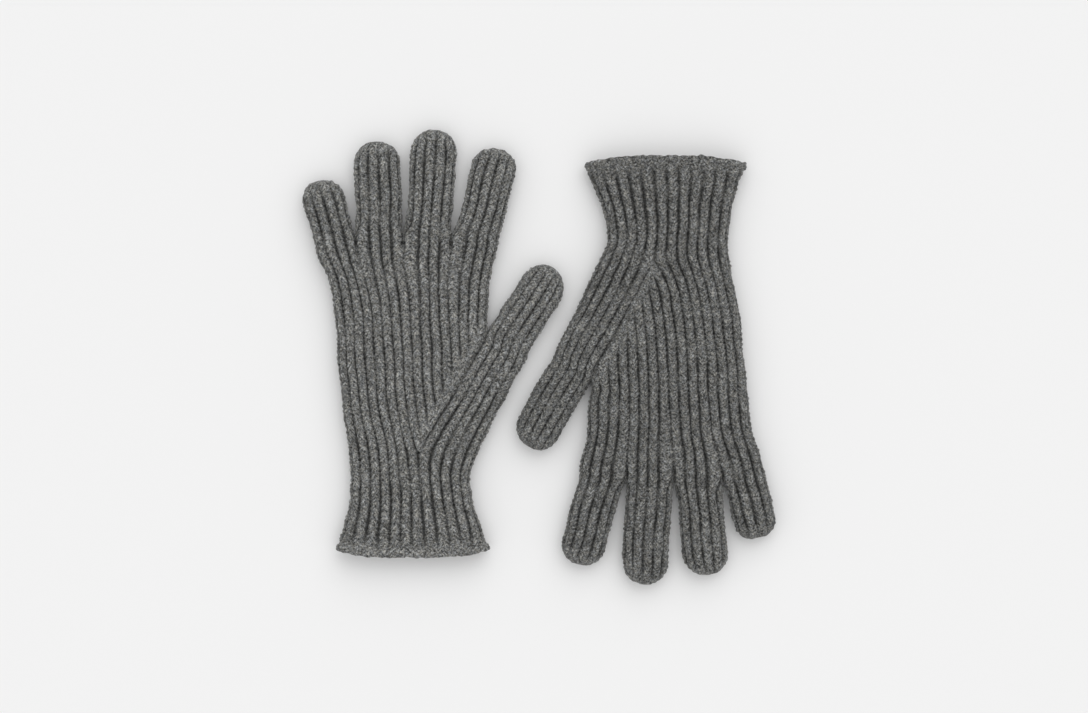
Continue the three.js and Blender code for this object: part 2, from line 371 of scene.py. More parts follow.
def knitted(glove, points, columns, courses, groove=1.0, plain=0.0, first_rib=0):
    """Raises ribs of V-shaped stitches on a grid, their points towards the fingertips. courses is each
    point's distance along its rib. groove is how deep the grooves are and how much painted shade they
    get, plain is how much of the surface is plain edge stitch instead, and first_rib is the number of the
    rib that the columns start at. Returns the new points, their painted shade (darker in the grooves, the
    gaps and down the middle of a rib, and on the plain edge darker between its bumps and lighter on them)
    times a random tone for each stitch, and their place on the yarn."""
    normals = surface_normals(points)
    width = rib_widths(points, columns)
    rib = np.floor(columns)[None, :] + first_rib + glove.seed + 1
    from_middle = (columns[None, :] % 1 - 0.5) * width
    half = np.maximum(np.minimum(width / 2, RIB_HALF), (width - WIDEST_GAP) / 2)
    side = np.abs(from_middle) / np.maximum(half, 1e-5)
    room = np.clip(width / FULL_RELIEF, 0, 1)
    groove = groove * (1 - 0.35 * np.clip(wander(points, 12 * MM, glove.seed + 41), 0, 1))

    slip = 0.2 * wander(points, 7 * MM, glove.seed + 11)
    phase = courses / COURSE + LEG_RISE / COURSE * np.clip(side, 0, 1.2) + slip
    strand = np.abs(np.sin(math.pi * phase)) ** LEG_SHAPE
    uneven = 0.6 + 0.8 * scatter(rib, np.floor(phase) * 2 + (from_middle > 0), 3)
    gap = (1 - strand) * uneven
    scalloped = side * (1 + 0.2 * gap)
    hollow = (1 - np.sqrt(np.clip(1 - np.clip(scalloped, 0, 1) ** CROWN_SHAPE, 0, 1))) * groove
    middle_line = np.exp(-((side / MID_WIDTH) ** 2))
    rungs = np.where(side > 1, RUNG_HEIGHT * np.abs(np.sin(math.pi * courses / COURSE)), 0)

    ribbed = rungs - RIB_DEPTH * hollow - LEG_DEPTH * gap * (1 - 0.6 * hollow) - MID_DEPTH * middle_line
    ribbed = (ribbed + EVENNESS * (uneven - 1)) * room
    bumps = np.sin(math.tau * columns[None, :] * 2) * np.sin(math.tau * courses / HEM_COURSE)
    plained = HEM_BUMP * bumps + ROUGHNESS * wander(points, 2.2 * MM, glove.seed + 23)
    height = FULLER + mix(ribbed, plained, plain)
    height = height + ROUGHNESS * wander(points, 1.4 * MM, glove.seed + 31, waves=24)
    height = height + ROUGHNESS * wander(points, 6 * MM, glove.seed + 37)

    # Painted shade: darker in the grooves, in the gaps between stitches and down the middle of a rib; on the
    # plain edge darker between its bumps and lighter on them. The random tone of each stitch is the yarn's
    # own.
    shade = 1 - (GROOVE_SHADE * hollow + GAP_SHADE * gap * (1 - hollow) + MID_SHADE * middle_line) * room
    tone_and_painted_shade = mix(shade, 0.88 + 0.2 * bumps, plain) * (0.92 + 0.16 * scatter(rib, np.floor(phase), 5))
    yarn = np.stack(np.broadcast_arrays(phase * COURSE, from_middle / 1.8, rib * 7 * MM), axis=-1)
    return points + normals * height[..., None], tone_and_painted_shade, yarn


def rest_shape(glove, points):
    """A flattened tube isn't a flat slab: it swells and sinks a little over its whole surface."""
    eased = points.copy()
    over = np.clip((points[..., 2] - MIDDLE) / MIDDLE, 0, 1)
    eased[..., 2] += SWELL * wander(points, 22 * MM, glove.seed + 5) * over
    eased[..., 0] += SWAY * wander(points, 16 * MM, glove.seed + 7)
    eased[..., 0] += QUIVER * wander(points, 6 * MM, glove.seed + 9)
    return eased


# ---- Meshes -------------------------------------------------------------------------------------------


def band(first, rows, columns):
    """The quads of a grid whose columns close on themselves."""
    i, j = np.meshgrid(np.arange(rows - 1), np.arange(columns), indexing="ij")
    next_j = (j + 1) % columns
    corners = [i * columns + j, i * columns + next_j, (i + 1) * columns + next_j, (i + 1) * columns + j]
    return np.stack(corners, axis=-1).reshape(-1, 4) + first


def shell(name, glove, rows, outer, lining, tone_and_painted_shade, yarn, closed=False):
    """Some rows of a tube of fabric as one mesh: the knitted outside, the lining behind it, and the fabric's
    edge at each open end. A closed tube ends in a point."""
    outer, tone_and_painted_shade, yarn = outer[rows], tone_and_painted_shade[rows], yarn[rows]
    lining = lining_of(lining[rows], closed)
    height, columns = outer.shape[:2]
    lining_height = lining.shape[0]
    points = np.concatenate([outer.reshape(-1, 3), lining.reshape(-1, 3)])
    inside = height * columns
    edge = np.arange(columns)
    following = (edge + 1) % columns
    quads = [band(0, height, columns), band(inside, lining_height, columns)[:, ::-1]]
    quads.append(np.stack([edge + inside, following + inside, following, edge], axis=1))
    if not closed:
        last = (height - 1) * columns
        behind = inside + (lining_height - 1) * columns
        quads.append(np.stack([edge + last, following + last, following + behind, edge + behind], axis=1))
    quads = np.concatenate(quads)
    world = glove.world(points)

    mesh = bpy.data.meshes.new(name)
    mesh.vertices.add(len(world))
    mesh.vertices.foreach_set("co", world.astype(np.float32).ravel())
    mesh.loops.add(quads.size)
    mesh.loops.foreach_set("vertex_index", quads.astype(np.int32).ravel())
    mesh.polygons.add(len(quads))
    mesh.polygons.foreach_set("loop_start", np.arange(0, quads.size, 4, dtype=np.int32))
    mesh.polygons.foreach_set("loop_total", np.full(len(quads), 4, np.int32))
    mesh.polygons.foreach_set("use_smooth", np.ones(len(quads), bool))
    mesh.update(calc_edges=True)
    lining_tone = np.full(lining_height * columns, LINING_TONE)
    on_yarn = np.append(yarn.ravel(), world[inside:].ravel())
    # Painted shade: the knit's painted shade and stitch tone, times the left glove's painted darkening.
    shade = np.append(tone_and_painted_shade.ravel(), lining_tone) * glove.dye
    set_attribute(mesh, "knit_place", "FLOAT_VECTOR", "vector", world)
    set_attribute(mesh, "knit_yarn", "FLOAT_VECTOR", "vector", on_yarn)
    set_attribute(mesh, "knit_tone_and_painted_shade", "FLOAT", "value", shade)
    mark_ends(mesh, columns, [0, height - 1])
    return mesh


def lining_of(points, closed):
    """The inside of the fabric behind a grid, on fewer rows."""
    count = max(3, round(len(points) * ROW / LINING_ROW))
    chosen = np.unique(np.linspace(0, len(points) - 1, count).round().astype(int))
    inside = (points - surface_normals(points) * FABRIC)[chosen]
    if closed:
        inside[-1] = inside[-2].mean(axis=0)
    return inside


def set_attribute(mesh, name, kind, field, values):
    attribute = mesh.attributes.new(name, kind, "POINT")
    attribute.data.foreach_set(field, np.asarray(values, np.float32).ravel())


def mark_ends(mesh, columns, rows):
    """Marks the edges round a tube's ends as sharp, so that the fabric's cut edge doesn't shade its
    outside."""
    ends = np.empty(len(mesh.edges) * 2, np.int32)
    mesh.edges.foreach_get("vertices", ends)
    a, b = ends[0::2], ends[1::2]
    sharp = np.zeros(len(a), bool)
    for row in rows:
        low, high = row * columns, (row + 1) * columns
        sharp |= (a >= low) & (a < high) & (b >= low) & (b < high)
    attribute = mesh.attributes.new("sharp_edge", "BOOLEAN", "EDGE")
    attribute.data.foreach_set("value", sharp)


def add_piece(name, mesh, material, node):
    mesh.materials.append(material)
    piece = bpy.data.objects.new(name, mesh)
    bpy.context.scene.collection.objects.link(piece)
    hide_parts(node)
    return piece


# ---- Tubes of a glove ---------------------------------------------------------------------------------


def outline(glove):
    """The outline of cuff, wrist and hand, as functions of the distance from the cuff's edge: the little
    finger's side, the thumb's side, and the hand's own edge, which is the gusset's seam below the thumb's
    crotch."""
    ys = np.arange(0, glove.crotch + 12 * MM, 1 * MM)
    below = ys < glove.wrist
    cuff_left, cuff_right = glove.span("cuff", ys)
    hand_left, hand_right = glove.span("hand", ys, rounding=1)
    _, gusset_right = glove.span("thumb_gusset", ys, rounding=3)
    left = smooth_curve(np.where(below, cuff_left, hand_left), 4)
    right = smooth_curve(np.where(below, cuff_right, gusset_right), 3)
    inner = smooth_curve(hand_right, 2)
    return [curve_through(ys, values) for values in (left, right, inner)]


def curve_through(ys, values):
    return lambda y: np.interp(y, ys, values)


def tube_length(left, right):
    """The arc length over a tube from side to side."""
    return right - left - 2 * MIDDLE + math.pi * MIDDLE


def seventh_rib(glove):
    """The arc length from the little finger's side to the line between the seventh and eighth ribs. The line
    runs up the cuff to the gusset's foot and swings back from there to its even place in the palm."""
    ys = np.arange(0, glove.crotch, 0.5 * MM)
    left = glove.left(ys)
    inner = glove.inner(np.maximum(ys, glove.thumb_crotch + 8 * MM))
    cuff_pitch = tube_length(left, glove.right(ys)) / (HAND_SIDE_RIBS + THUMB_SIDE_RIBS + 1)
    in_cuff = cuff_pitch * (HAND_SIDE_RIBS + 0.5)
    in_palm = tube_length(left, inner) * (HAND_SIDE_RIBS + 0.5) / (PALM_RIBS + 1)
    at_foot = glove.foot - left - MIDDLE + math.pi / 2 * MIDDLE
    split = np.searchsorted(ys, glove.split)
    swing = (at_foot[split] - in_palm[split]) * np.exp(-(ys - glove.split) / SWING)
    nearing = mix(in_cuff, at_foot, ease(ys, glove.wrist - 14 * MM, glove.split - 2 * MM))
    line = np.where(ys < glove.split, nearing, in_palm + swing)
    return curve_through(ys, line), curve_through(ys, smooth_curve(line, 16))


def little_side_arc(glove, y, rib):
    """The arc length at a rib coordinate up to the seventh rib: the ribs further from the gusset's foot turn
    more softly than the seventh."""
    sharpness = np.clip(rib / HAND_SIDE_RIBS, 0, 1) ** 3
    reach = mix(glove.seventh_soft(y), glove.seventh(y), sharpness)
    return reach * (rib + 0.5) / (HAND_SIDE_RIBS + 0.5)


def thumb_side_bend(y, rib, split):
    """How far the ribs between seam and thumb side keep inside their bend where the gusset starts."""
    share = np.clip((rib - HAND_SIDE_RIBS) / THUMB_SIDE_RIBS, 0, 1)
    reach = 8 * MM * np.clip(3 * share, 0, 1)
    away = np.abs(y - split)
    return 0.55 * (1 - share) * (np.sqrt(away**2 + reach**2) - away) / 2


def cuff_points(glove, ys):
    """The cuff's surface from its edge to where hand and gusset part."""
    y = ys[:, None]
    left, right = glove.left(y), glove.right(y)
    section = Section(left, right, MIDDLE, MIDDLE, MIDDLE)
    ribs = Ribs(HAND_SIDE_RIBS + THUMB_SIDE_RIBS)
    seventh = glove.seventh(y)
    pitch = (section.length - seventh) / (THUMB_SIDE_RIBS + 0.5)

    def top_arc(rib):
        beyond = seventh + (rib - HAND_SIDE_RIBS) * pitch + thumb_side_bend(y, rib, glove.split)
        return np.where(rib < HAND_SIDE_RIBS, little_side_arc(glove, y, rib), beyond)

    left_share = little_side_arc(glove, y, 0 * y)
    arc, upper = ribs.arcs(section, left_share, pitch / 2, top_arc)
    pinch = mix(HEM_PINCH, SIDE_PINCH, ease(y, 0, HEM_REACH))
    across, height = flattened(section, arc, upper, pinch, pinch)
    middle = (left + right) / 2
    outward = (across - middle) / (right - left) * 2
    along = y + (HEM_BOW * np.abs(outward) ** 3 - HEM_DROP) * (1 - ease(y, 0, HEM_REACH))
    across = across + HEM_EAR * outward**3 * (1 - ease(y, 0, EAR_REACH))
    return np.stack([across, along, height], axis=-1), ribs


def hand_points(glove, ys):
    """The hand's surface, from where it parts from the gusset to the crotches between the fingers."""
    y = ys[:, None]
    ribs = Ribs(PALM_RIBS)
    left, inner = glove.left(y), glove.inner(y)
    past_gusset = glove.thumb_crotch + 6 * MM
    tuck = 1 - ease(y, glove.thumb_crotch - 4 * MM, past_gusset)
    right_radius = mix(MIDDLE, SEAM_RADIUS, tuck)
    section = Section(left, inner + SEAM_TUCK * tuck, MIDDLE, MIDDLE, right_radius)
    seventh = glove.seventh(y)
    even_pitch = (section.length - seventh) / (PALM_RIBS - HAND_SIDE_RIBS + 0.5)
    first_row = np.argmin(np.abs(ys - past_gusset))
    pitch = np.where(y < ys[first_row], even_pitch[first_row], even_pitch)
    hidden = SEAM_RADIUS + right_radius * math.pi / 2 + MIDDLE - right_radius
    wanted = seventh + pitch * (PALM_RIBS - HAND_SIDE_RIBS + 0.5)

    def top_arc(rib):
        """Ribs that would pass the seam are packed together out of sight under the gusset."""
        beyond = seventh + (rib - HAND_SIDE_RIBS) * pitch
        arc = np.where(rib < HAND_SIDE_RIBS, little_side_arc(glove, y, rib), beyond)
        start = np.maximum(section.length - hidden, seventh)
        packed = start + (arc - start) * (section.length - start) / np.maximum(wanted - start, 1e-6)
        return np.where((arc > start) & (wanted > section.length), packed, arc)

    right_share = section.length - top_arc(0 * y + PALM_RIBS)
    arc, upper = ribs.arcs(section, little_side_arc(glove, y, 0 * y), right_share, top_arc)
    pinch = SIDE_PINCH * (1 - ease(y, glove.crotch - PINCH_FADE, glove.crotch))
    across, height = flattened(section, arc, upper, pinch, pinch * (1 - tuck))
    sink = SEAM_SINK * ease(across - inner, -0.6 * MM, 2 * MM) * tuck
    height = height - np.where(upper, sink, -sink)
    points = np.stack([across, np.broadcast_to(y, across.shape), height], axis=-1)
    return toward_fingers(glove, points, ys), ribs, tuck


def ends_of_rows(values):
    return values.min(axis=1, keepdims=True), values.max(axis=1, keepdims=True)


def toward_fingers(glove, points, ys):
    """Leads the ribs of the hand into the fingers as they near the crotches."""
    roots = [finger_points(stall, np.zeros(1))[0][0] for stall in glove.fingers]
    little, index = roots[0], roots[-1]
    top, under = FINGER_RIBS * COLUMNS, (FINGER_RIBS + 1) * COLUMNS
    last = (2 * FINGER_RIBS + 1) * COLUMNS
    target = [root[:top] for root in roots]
    target.append(index[top:under])
    target.extend(root[under:last] for root in roots[::-1])
    target.append(little[last:])
    target = np.concatenate(target)
    lean = np.interp(
        target[:, 0],
        [stall.root[0] for stall in glove.fingers],
        [stall.along[0] / stall.along[1] for stall in glove.fingers],
    )
    near = ys[:, None] - glove.crotch
    turned = ease(near, -FAN_REACH, 0)
    leaning = target[:, 0] + lean * near
    left, right = ends_of_rows(points[..., 0])
    lowest, highest = ends_of_rows(leaning)
    leaning = mix(left, right, (leaning - lowest) / (highest - lowest))
    points[..., 0] = mix(points[..., 0], leaning, turned)
    points[..., 2] = mix(points[..., 2], target[:, 2], ease(near, -7 * MM, 0))
    return points


def stall_lines(stall, section, opening):
    """The arc lengths at which a stall's ribs start. At its root they go straight on from the hand's ribs,
    and beyond its opening they are evenly spread."""
    ribs = stall.ribs
    settled = Section(-stall.half, stall.half, MIDDLE, MIDDLE, MIDDLE)
    unit = settled.length / (ribs.top + (ribs.left + ribs.right) / 2)
    even = unit * (ribs.left / 2 + np.arange(ribs.top + 1))[None, :]
    straight, _ = settled.at(even)
    at_root = section.left_wall + section.left_arc + straight - section.left - section.left_radius
    at_root[:, 0] = even[0, 0] if stall.left_open else section.left_wall[:, 0]
    right_end = unit * ribs.right / 2 if stall.right_open else section.right_wall
    at_root[:, -1:] = section.length - right_end
    return mix(at_root, even * section.length / settled.length, opening)


def rounded_off(t, end, reach, power):
    """1 until a reach before the end, and from there a round curve down to nearly 0."""
    return np.sqrt(1 - np.clip((t - end + reach) / reach, 0, 0.9995) ** power)


def capped(stall, t, section, arc):
    """Closes a stall's end: its section gets narrower and less high, and the ribs draw together on it."""
    narrow = rounded_off(t, stall.length, stall.half * CAP_SHARE, 2.2)
    low = rounded_off(t, stall.length, CAP_RISE, 2)
    half_height = np.minimum(MIDDLE * low, stall.half * CAP_SHARE * narrow)
    left_radius = np.minimum(section.left_radius, half_height)
    right_radius = np.minimum(section.right_radius, half_height)
    smaller = Section(section.left * narrow, section.right * narrow, half_height, left_radius, right_radius)

    from_top = (arc - section.length / 2) / (smaller.length / 2)
    most = section.length / smaller.length
    bent = from_top / (1 + np.abs(from_top) ** 3) ** (1 / 3)
    bent = bent / (most / (1 + most**3) ** (1 / 3))
    share = mix(from_top / most, bent, 0.8 * ease(most, 1, 1.35))
    return smaller, smaller.length / 2 * (1 + share)


def finger_points(stall, ts):
    """A stall's surface, over distances along its middle line from the line of its root."""
    t = ts[:, None]
    slanted = math.hypot(1, stall.slant)
    opening = ease(t, 0, STALL_OPENING)
    left = -mix(stall.left_edge / slanted, stall.half, opening)
    right = mix(stall.right_edge / slanted, stall.half, opening)
    corner = mix(CROTCH_RADIUS, MIDDLE, ease(t, -2 * MM, 11 * MM))
    left_radius = 0 * t + MIDDLE if stall.left_open else corner
    right_radius = 0 * t + MIDDLE if stall.right_open else corner
    section = Section(left, right, MIDDLE, left_radius, right_radius)

    lines = stall_lines(stall, section, opening)
    right_share = section.length - lines[:, -1:]
    arc, upper = stall.ribs.arcs(section, lines[:, :1], right_share, lambda rib: between_lines(lines, rib))
    section, arc = capped(stall, t, section, arc)
    across, height = flattened(section, arc, upper)

    square = 1 - ease(t, 0.35 * stall.length, 0.7 * stall.length)
    along = t + across * stall.slant * square
    plan = stall.root + across[..., None] * stall.across + along[..., None] * stall.along
    return np.concatenate([plan, height[..., None]], axis=-1), np.broadcast_to(t, across.shape)


def gusset_points(glove, shares):
    """The gusset's surface from the cuff to the thumb's root line, over shares of the way."""
    share = shares[:, None]
    thumb = glove.thumb
    foot_left = np.array([glove.foot - SEAM_RADIUS, glove.split])
    foot_right = np.array([float(glove.right(glove.split)), glove.split])
    head_left = thumb.root - thumb.across * thumb.half
    head_right = thumb.root + thumb.across * thumb.half
    left = mix(foot_left, head_left, share)
    right = mix(foot_right, head_right, share)
    width = np.linalg.norm(right - left, axis=1)[:, None]
    direction = (right - left) / width
    length = np.linalg.norm(thumb.root - (foot_left + foot_right) / 2)
    raised = MIDDLE + GUSSET_RISE * ease(share, 0, 0.1) * (1 - ease(share, 0.85, 1))
    settled = ease(share, 0.9, 1)
    left_radius = mix(SEAM_RADIUS, MIDDLE, ease(share, 0.93, 1.0))
    section = Section(0 * width, width, raised, left_radius, MIDDLE + 0 * width)
    even = section.length / (THUMB_SIDE_RIBS + 1)
    left_share = mix(section.left_wall + section.left_arc, even / 2, settled)
    right_share = mix((section.length - left_share) / (THUMB_SIDE_RIBS + 0.5) / 2, even / 2, settled)
    pitch = (section.length - left_share - right_share) / THUMB_SIDE_RIBS
    ribs = Ribs(THUMB_SIDE_RIBS)

    def top_arc(rib):
        bend = thumb_side_bend(glove.split + share * length, rib + HAND_SIDE_RIBS, glove.split)
        return left_share + rib * pitch + bend * (1 - settled)

    arc, upper = ribs.arcs(section, left_share, right_share, top_arc)
    across, height = flattened(section, arc, upper, 0, SIDE_PINCH * (1 - settled))
    plan = left[:, None, :] + across[..., None] * direction[:, None, :]
    courses = glove.split + share * length + 0 * across
    return np.concatenate([plan, height[..., None]], axis=-1), courses, ribs


# ---- Gloves -------------------------------------------------------------------------------------------


def measure(glove):
    """Fills in what the tubes share."""
    glove.seed = 100 if glove.hand == "left" else 0
    # Painted shade: the left glove is painted darker all over than the right one.
    glove.dye = LEFT_PAINTED_SHADE if glove.hand == "left" else 1.0
    glove.fingers = [Stall(glove, name) for name in FINGERS]
    glove.thumb = Stall(glove, "thumb")
    glove.crotch = np.mean([stall.root[1] for stall in glove.fingers])
    glove.left, glove.right, glove.inner = outline(glove)
    glove.thumb_crotch = (glove.thumb.root - glove.thumb.across * glove.thumb.half)[1]
    glove.foot = float(glove.inner(glove.split)) - 1 * MM
    glove.seventh, glove.seventh_soft = seventh_rib(glove)
    sides = []
    for stall in glove.fingers:
        reach = stall.half * math.hypot(1, stall.slant)
        sides.append((stall.root[0] - reach, stall.root[0] + reach))
    for index, stall in enumerate(glove.fingers):
        stall.left_open, stall.right_open = index == 0, index == len(FINGERS) - 1
        left = sides[index][0] if stall.left_open else (sides[index][0] + sides[index - 1][1]) / 2
        right = sides[index][1] if stall.right_open else (sides[index][1] + sides[index + 1][0]) / 2
        stall.left_edge, stall.right_edge = stall.root[0] - left, right - stall.root[0]
        stall.ribs = Ribs(FINGER_RIBS, right=1, left=1 if stall.left_open else 2)
    thumb = glove.thumb
    thumb.left_open = thumb.right_open = True
    thumb.left_edge = thumb.right_edge = thumb.half
    thumb.ribs = Ribs(THUMB_SIDE_RIBS)


def bend_between(glove, piece, before, after, start, end):
    """Bakes a piece's placement into its mesh. The bodies and plan points it is given are not used."""
    ends = glove.world(np.array([[*start, MIDDLE], [*end, MIDDLE]]))
    before, after = f"{glove.hand}_{before}", f"{glove.hand}_{after}"
    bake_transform(piece)


def knit_cuff(glove, materials):
    """The cuff and its rolled edge, which are one tube."""
    ys = rows_between(0, glove.split, ROW)
    y = ys[:, None]
    points, ribs = cuff_points(glove, ys)
    points = rest_shape(glove, points)
    low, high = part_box(f"{glove.hand}_cuff")
    hem_top = glove.own(low if glove.turn > 0 else high)[1]
    plain = 1 - ease(y, hem_top - 1.5 * MM, hem_top + 2.5 * MM)
    roll = HEM_ROLL * np.exp(-(((y - 0.3 * hem_top) / (0.3 * hem_top)) ** 2))
    roll = roll - HEM_NECK * np.exp(-(((y - 0.85 * hem_top) / (0.2 * hem_top)) ** 2))
    points[..., 1] += HEM_WAVER * wander(points, 2.5 * MM, glove.seed + 3) * (1 - ease(y, 0, hem_top))
    points = points + surface_normals(points) * roll[..., None]
    courses = np.broadcast_to(y, points.shape[:2])
    groove = 0.6 + 0.4 * ease(y, hem_top - 1 * MM, hem_top + 9 * MM)
    outer, tone_and_painted_shade, yarn = knitted(glove, points, ribs.columns, courses, groove, plain)
    part = np.searchsorted(ys, hem_top)
    halves = ("hem", slice(0, part + 1), "hem_knit"), ("cuff", slice(part, None), "rib_knit")
    for name, rows, slot in halves:
        mesh = shell(f"{glove.hand}_{name}_knit", glove, rows, outer, points, tone_and_painted_shade, yarn)
        piece = add_piece(mesh.name, mesh, materials[slot], f"{glove.hand}_{name}")
        if name == "hem":
            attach(piece, f"{glove.hand}_cuff")
        else:
            ends = [(0, glove.wrist + reach) for reach in (WRIST_BEND, -WRIST_BEND)]
            bend_between(glove, piece, "hand", "cuff", *ends)


def knit_hand(glove, materials):
    ys = rows_between(glove.split, glove.crotch, ROW)
    points, ribs, tuck = hand_points(glove, ys)
    points = rest_shape(glove, points)
    beside_seam = ease(glove.inner(ys[:, None]) - points[..., 0], 2 * MM, 7 * MM)
    beyond = ribs.columns[None, :] % (PALM_RIBS + 1) > HAND_SIDE_RIBS
    groove = np.where(beyond, mix(1, beside_seam, tuck), 1)
    between_fingers = np.isin(np.round(ribs.columns), FINGER_RIBS * np.arange(1, len(FINGERS)))[None, :]
    crease = between_fingers * ease(ys[:, None], glove.crotch - CREASE_REACH, glove.crotch)
    groove = groove * (1 + CREASE_DEPTH * crease)
    courses = np.broadcast_to(ys[:, None], points.shape[:2])
    outer, tone_and_painted_shade, yarn = knitted(glove, points, ribs.columns, courses, groove)
    mesh = shell(f"{glove.hand}_hand_knit", glove, slice(None), outer, points, tone_and_painted_shade, yarn)
    piece = add_piece(mesh.name, mesh, materials["rib_knit"], f"{glove.hand}_hand")
    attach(piece, f"{glove.hand}_hand")


def knit_gusset(glove, materials):
    """The gusset. Returns how far along its ribs it ends, for the thumb to go on from there."""
    length = np.linalg.norm(glove.thumb.root - np.array([0, glove.split]))
    points, courses, ribs = gusset_points(glove, rows_between(0, 1, ROW / length))
    points = rest_shape(glove, points)
    outer, tone_and_painted_shade, yarn = knitted(glove, points, ribs.columns, courses, first_rib=HAND_SIDE_RIBS)
    mesh = shell(f"{glove.hand}_gusset_knit", glove, slice(None), outer, points, tone_and_painted_shade, yarn)
    piece = add_piece(mesh.name, mesh, materials["rib_knit"], f"{glove.hand}_thumb_gusset")
    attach(piece, f"{glove.hand}_hand")
    return courses[-1, 0]


def knit_stall(glove, stall, materials, course, first_rib):
    """A stall's root half and tip half, which are one tube."""
    ts = rows_between(0, stall.length, ROW)
    points, along = finger_points(stall, ts)
    points = rest_shape(glove, points)
    fade = 1 - CAP_FADE * ease(ts[:, None], stall.length - 9 * MM, stall.length - 2 * MM)
    outer, tone_and_painted_shade, yarn = knitted(glove, points, stall.ribs.columns, along + course, fade, first_rib=first_rib)
    outer[-1] = outer[-1].mean(axis=0)
    part = np.searchsorted(ts, stall.knuckle - stall.bend)
    forward = np.array([-stall.row[1], stall.row[0]])
    reach = forward @ stall.along
    root, tip = f"{stall.name}_root", f"{stall.name}_tip"
    for half, rows, before, start, end in (
        (root, slice(0, part + 1), "hand", 0, 2 * STALL_BEND),
        (tip, slice(part, None), root, ts[part], stall.knuckle + stall.bend),
    ):
        mesh = shell(f"{glove.hand}_{half}_knit", glove, rows, outer, points, tone_and_painted_shade, yarn, closed=half == tip)
        piece = add_piece(mesh.name, mesh, materials["rib_knit"], f"{glove.hand}_{half}")
        ends = [stall.root + forward * at * reach for at in (start, end)]
        bend_between(glove, piece, before, half, *ends)


def knit_glove(hand, materials):
    glove = Glove(hand)
    measure(glove)
    knit_cuff(glove, materials)
    knit_hand(glove, materials)
    thumb_course = knit_gusset(glove, materials)
    for index, stall in enumerate(glove.fingers):
        knit_stall(glove, stall, materials, glove.crotch, index * FINGER_RIBS)
    knit_stall(glove, glove.thumb, materials, thumb_course, HAND_SIDE_RIBS)


# ---- Materials ----------------------------------------------------------------------------------------


class Nodes:
    """A material's node tree, with short ways to add and join nodes."""

    def __init__(self, name):
        self.material = bpy.data.materials.new(name)
        self.material.use_nodes = True
        self.tree = self.material.node_tree
        self.tree.nodes.clear()

    def add(self, kind, inputs=(), **settings):
        node = self.tree.nodes.new(kind)
        for key, value in settings.items():
            setattr(node, key, value)
        for key, value in dict(inputs).items():
            if isinstance(value, bpy.types.NodeSocket):
                self.tree.links.new(value, node.inputs[key])
            else:
                node.inputs[key].default_value = value
        return node

    def attribute(self, name, output):
        return self.add("ShaderNodeAttribute", attribute_name=name).outputs[output]

    def noise(self, place, size, detail=2.0, roughness=0.5):
        """Noise around 0.5 with features of that size."""
        settings = {"Vector": place, "Scale": 1 / size, "Detail": detail, "Roughness": roughness}
        return self.add("ShaderNodeTexNoise", settings).outputs["Fac"]

    def spread(self, value, low, high, to_low, to_high):
        """Stretches the part of a value from low to high over another range."""
        inputs = {"Value": value, "From Min": low, "From Max": high, "To Min": to_low, "To Max": to_high}
        return self.add("ShaderNodeMapRange", inputs, clamp=True).outputs["Result"]

    def math(self, operation, a, b):
        node = self.add("ShaderNodeMath", {0: a, 1: b}, operation=operation)
        return node.outputs[0]


def wool(name):
    """Heather grey wool: dark and pale fibres spun together along the yarn, times the painted shade that is
    darker down in the grooves and between the stitches.
    """
    nodes = Nodes(name)
    place = nodes.attribute("knit_place", "Vector")
    yarn = nodes.attribute("knit_yarn", "Vector")
    tone_and_painted_shade = nodes.attribute("knit_tone_and_painted_shade", "Fac")
    streak = nodes.spread(nodes.noise(yarn, 1.1 * MM, 2.0, 0.6), 0.34, 0.66, 0.5, 1.5)
    fibre = nodes.spread(nodes.noise(place, 1.0 * MM, 3.0, 0.75), 0.37, 0.63, 0.2, 1.85)
    blotch = nodes.spread(nodes.noise(place, 4 * MM, 2.0), 0.3, 0.7, 0.78, 1.22)
    light = CROWN_BRIGHTNESS
    for part in (streak, fibre, blotch, tone_and_painted_shade):
        light = nodes.math("MULTIPLY", part, light)
    tint = nodes.spread(nodes.noise(place, 1.6 * MM, 1.0), 0.35, 0.65, 0.0, 1.0)
    hue = nodes.add("ShaderNodeMix", {0: tint}, data_type="RGBA")
    hue.inputs[6].default_value = (0.97, 1.0, 1.01, 1)
    hue.inputs[7].default_value = (1.02, 1.0, 0.92, 1)
    colour = nodes.add("ShaderNodeVectorMath", {0: hue.outputs[2], "Scale": light}, operation="SCALE")
    relief = nodes.noise(yarn, 0.4 * MM, 3.0, 0.7)
    bump = nodes.add("ShaderNodeBump", {"Strength": 0.8, "Distance": 0.3 * MM, "Height": relief})
    shader = nodes.add(
        "ShaderNodeBsdfPrincipled",
        {
            "Base Color": colour.outputs[0],
            "Roughness": 0.95,
            "Specular IOR Level": 0.12,
            "Sheen Weight": 0.2,
            "Sheen Roughness": 0.55,
            "Sheen Tint": (0.9, 0.9, 0.88, 1.0),
            "Normal": bump.outputs["Normal"],
        },
    )
    output = nodes.add("ShaderNodeOutputMaterial")
    nodes.tree.links.new(shader.outputs["BSDF"], output.inputs["Surface"])
    return nodes.material


def plain_white():
    nodes = Nodes("pale_floor")
    shader = nodes.add("ShaderNodeBsdfPrincipled", {"Base Color": (0.86, 0.86, 0.86, 1), "Roughness": 1.0})
    shader.inputs["Specular IOR Level"].default_value = 0.0
    output = nodes.add("ShaderNodeOutputMaterial")
    nodes.tree.links.new(shader.outputs["BSDF"], output.inputs["Surface"])
    return nodes.material


# ---- Stage --------------------------------------------------------------------------------------------

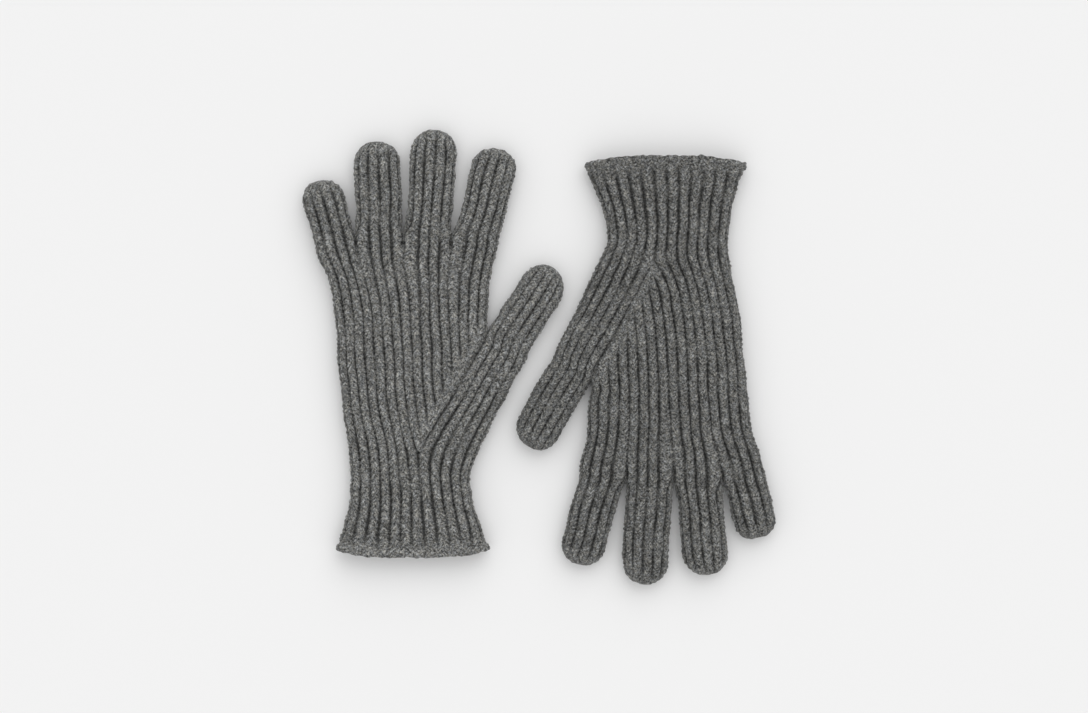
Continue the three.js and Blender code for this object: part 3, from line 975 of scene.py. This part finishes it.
FRAME_WIDTH = 0.6387  # what the camera's view takes in across, at the gloves
SENSOR = 36.0
LENS = 85.0
CAMERA_AT = (2.9 * MM, 0.3 * MM)
DOME = 0.95  # how bright the studio is overhead
WALLS = 0.88  # how bright its walls are, seen level with the table
SUN = 0.7  # how strong the softbox is
SUN_WIDTH = math.radians(60)  # how wide it is, seen from the gloves
SUN_FROM = (0.3, 1.0, 0.9)  # the direction of the softbox
FLOOR_AT = -1.3 * MM  # the gloves rest on their fullest ribs
FLOOR_REACH = 4.0  # from its middle to its edges


def make_camera():
    camera = bpy.data.cameras.new("camera")
    camera.lens, camera.sensor_width = LENS, SENSOR
    view = bpy.data.objects.new("camera", camera)
    view.location = (*CAMERA_AT, MIDDLE + FRAME_WIDTH * LENS / SENSOR)
    bpy.context.scene.collection.objects.link(view)
    bpy.context.scene.camera = view


def make_floor():
    mesh = bpy.data.meshes.new("floor")
    corners = [(x * FLOOR_REACH, y * FLOOR_REACH, 0) for x, y in ((-1, -1), (1, -1), (1, 1), (-1, 1))]
    mesh.from_pydata(corners, [], [(0, 1, 2, 3)])
    mesh.materials.append(plain_white())
    floor = bpy.data.objects.new("floor", mesh)
    floor.location.z = FLOOR_AT
    bpy.context.scene.collection.objects.link(floor)


def make_light():
    """Soft light from overhead, pale walls, and a wide softbox beyond the fingertips of the glove that lies
    palm up."""
    world = bpy.data.worlds.new("studio")
    world.use_nodes = True
    bpy.context.scene.world = world
    tree = world.node_tree
    direction = tree.nodes.new("ShaderNodeTexCoord").outputs["Generated"]
    parts = tree.nodes.new("ShaderNodeSeparateXYZ")
    tree.links.new(direction, parts.inputs[0])
    dome, walls = (tree.nodes.new("ShaderNodeMapRange") for _ in range(2))
    brighter = tree.nodes.new("ShaderNodeMath")
    for step, ends in ((dome, (0.1, 0.5, 0.0, DOME)), (walls, (0.15, 0.3, WALLS, 0.0))):
        step.interpolation_type = "SMOOTHSTEP"
        for socket, end in zip(("From Min", "From Max", "To Min", "To Max"), ends):
            step.inputs[socket].default_value = end
        tree.links.new(parts.outputs["Z"], step.inputs["Value"])
    brighter.operation = "MAXIMUM"
    tree.links.new(dome.outputs["Result"], brighter.inputs[0])
    tree.links.new(walls.outputs["Result"], brighter.inputs[1])
    tree.links.new(brighter.outputs[0], tree.nodes["Background"].inputs["Strength"])
    tree.nodes["Background"].inputs["Color"].default_value = (1, 1, 1, 1)

    light = bpy.data.lights.new("softbox", "SUN")
    light.energy, light.angle = SUN, SUN_WIDTH
    lamp = bpy.data.objects.new("softbox", light)
    lamp.rotation_mode = "QUATERNION"
    lamp.rotation_quaternion = Vector(SUN_FROM).to_track_quat("Z", "Y")
    bpy.context.scene.collection.objects.link(lamp)
    bpy.context.scene.view_settings.view_transform = "Standard"


make_camera()
make_floor()
make_light()
MATERIALS = {slot: wool(name) for slot, name in (("rib_knit", "rib_wool"), ("hem_knit", "hem_wool"))}
for hand_name in ("right", "left"):
    knit_glove(hand_name, MATERIALS)
